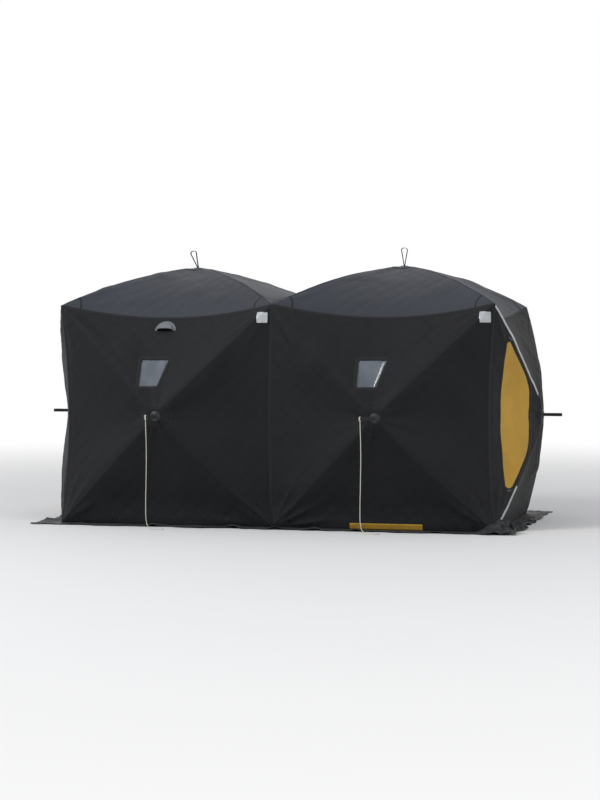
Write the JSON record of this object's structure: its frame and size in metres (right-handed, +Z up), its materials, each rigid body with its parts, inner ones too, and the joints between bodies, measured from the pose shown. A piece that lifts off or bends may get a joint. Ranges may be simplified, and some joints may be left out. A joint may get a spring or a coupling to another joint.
{
  "type": "pop-up ice fishing shelter",
  "caption": "Two-bay pop-up fabric shelter for ice fishing, pushed out by hubs with bent poles, with a D-shaped door at each end, clear windows and a snow skirt.",
  "frame": {"origin": "middle of the footprint, on the ice", "axes": "+X along the front to the right, +Y from the front to the back, +Z up"},
  "size_m": [4.4386, 2.6684, 2.2783],
  "materials": {
    "wall_fabric": "quilted woven polyester, coated, matt",
    "roof_fabric": "quilted woven polyester, coated, slight sheen",
    "gold_fabric": "woven polyester, coated, slight sheen",
    "clear_film": "clear flexible film",
    "hub_metal": "machined, satin",
    "pole_fibreglass": "pultruded glass fibre",
    "black_plastic": "moulded",
    "webbing": "woven webbing",
    "skirt_fabric": "coated woven polyester, creased",
    "vent_fabric": "coated woven polyester",
    "reflective_film": "retroreflective tape",
    "rope_fibre": "braided polyester"
  },
  "bodies": {
    "root": {"front_left_wall": "wall_fabric", "front_right_wall": "wall_fabric", "back_left_wall": "wall_fabric", "back_right_wall": "wall_fabric", "left_end_wall": "wall_fabric", "right_end_wall": "wall_fabric", "left_roof": "roof_fabric", "right_roof": "roof_fabric", "front_left_window": "clear_film", "front_right_window": "clear_film", "back_left_window": "clear_film", "back_right_window": "clear_film", "left_door": "gold_fabric", "right_door": "gold_fabric", "foot_band": "gold_fabric", "front_left_hub": "hub_metal", "front_left_poles": "pole_fibreglass", "front_right_hub": "hub_metal", "front_right_poles": "pole_fibreglass", "back_left_hub": "hub_metal", "back_left_poles": "pole_fibreglass", "back_right_hub": "hub_metal", "back_right_poles": "pole_fibreglass", "left_end_hub": "hub_metal", "left_end_poles": "pole_fibreglass", "right_end_hub": "hub_metal", "right_end_poles": "pole_fibreglass", "roof_left_hub": "hub_metal", "roof_left_poles": "pole_fibreglass", "roof_right_hub": "hub_metal", "roof_right_poles": "pole_fibreglass", "corner_sockets": "black_plastic", "roof_pull_loops": "webbing", "front_pull_loops": "webbing", "back_pull_loops": "webbing", "end_pull_loops": "webbing", "front_skirt": "skirt_fabric", "back_skirt": "skirt_fabric", "left_skirt": "skirt_fabric", "right_skirt": "skirt_fabric", "vents": "vent_fabric", "reflective_patches": "reflective_film", "left_guy_rope": "rope_fibre", "right_guy_rope": "rope_fibre", "rope_knots": "rope_fibre"}
  },
  "joints": []
}
